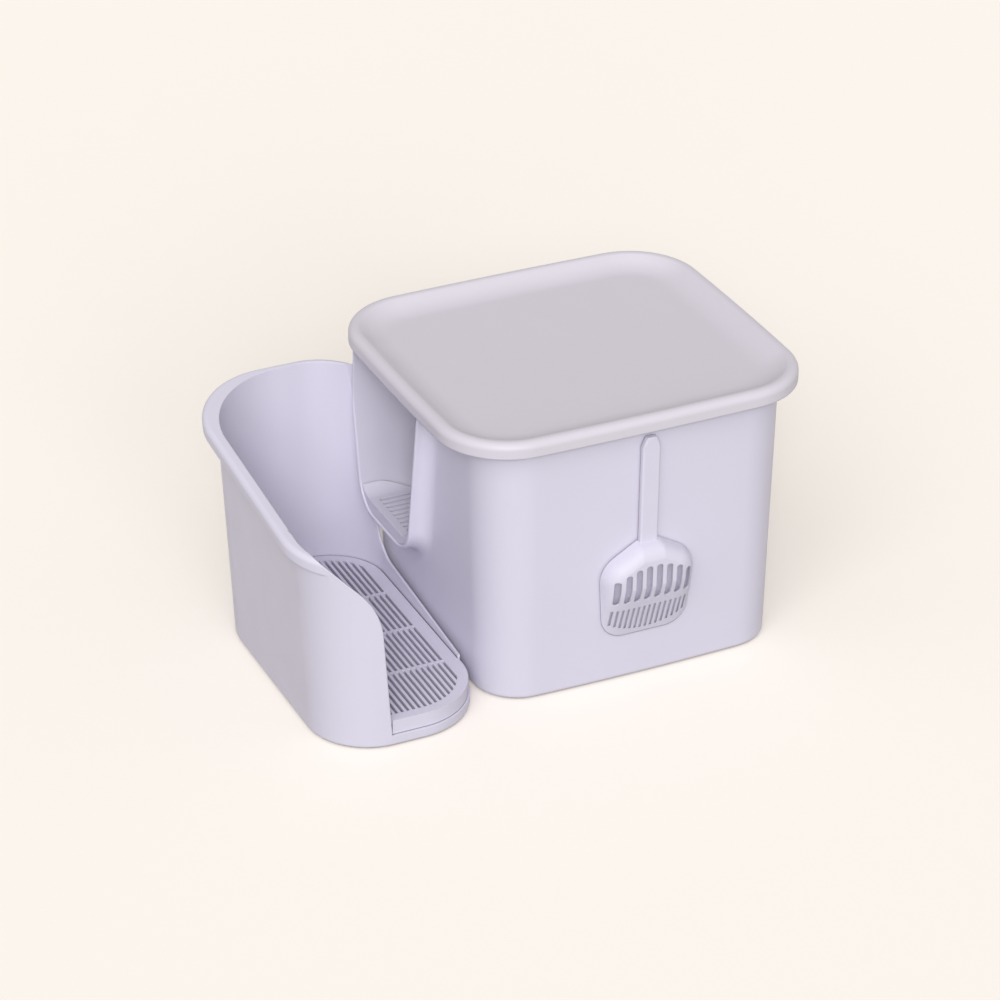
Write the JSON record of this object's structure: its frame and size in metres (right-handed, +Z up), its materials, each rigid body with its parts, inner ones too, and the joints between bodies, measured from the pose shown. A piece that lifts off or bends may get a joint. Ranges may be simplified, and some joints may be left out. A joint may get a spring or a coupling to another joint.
{
  "type": "litter box",
  "caption": "Deep covered litter tub with a tray-like lift-off lid, a side entry with a slotted shelf, a walled step bin with a slotted tread and a hanging scoop.",
  "frame": {"origin": "on the floor under the middle of the tub, on the tub's flat underside", "axes": "+X along the tub's long front wall away from the step bin, +Y from the scoop's wall to the back, +Z up"},
  "size_m": [0.6589, 0.4273, 0.36],
  "materials": {
    "shell": "satin moulded",
    "lid": "satin moulded",
    "step": "satin moulded",
    "tread": "satin moulded",
    "shelf": "satin moulded",
    "scoop": "satin moulded",
    "pad": "matte"
  },
  "bodies": {
    "tub": {"tub": "shell", "tub_pad_front_left": "pad", "tub_pad_front_right": "pad", "tub_pad_back_left": "pad", "tub_pad_back_right": "pad"},
    "lid": {"lid": "lid"},
    "step_bin": {"step_bin": "step", "step_pad_front_left": "pad", "step_pad_front_right": "pad", "step_pad_back_left": "pad", "step_pad_back_right": "pad"},
    "step_grille": {"step_grille": "tread"},
    "entry_shelf": {"entry_shelf": "shelf"},
    "scoop": {"scoop": "scoop"}
  },
  "joints": [
    {"name": "lid_lift", "type": "slide", "parent": "tub", "child": "lid", "axis": [0, 0, 1], "range_m": [0, 0.12]},
    {"name": "step_pull", "type": "slide", "parent": "tub", "child": "step_bin", "axis": [-1, 0, 0], "range_m": [0, 0.15]},
    {"name": "grille_lift", "type": "slide", "parent": "step_bin", "child": "step_grille", "axis": [0, 0, 1], "range_m": [0, 0.06]},
    {"name": "shelf_lift", "type": "slide", "parent": "tub", "child": "entry_shelf", "axis": [0, 0, 1], "range_m": [0, 0.12]},
    {"name": "scoop_pull", "type": "slide", "parent": "tub", "child": "scoop", "axis": [0, -1, 0], "range_m": [0, 0.1]}
  ]
}
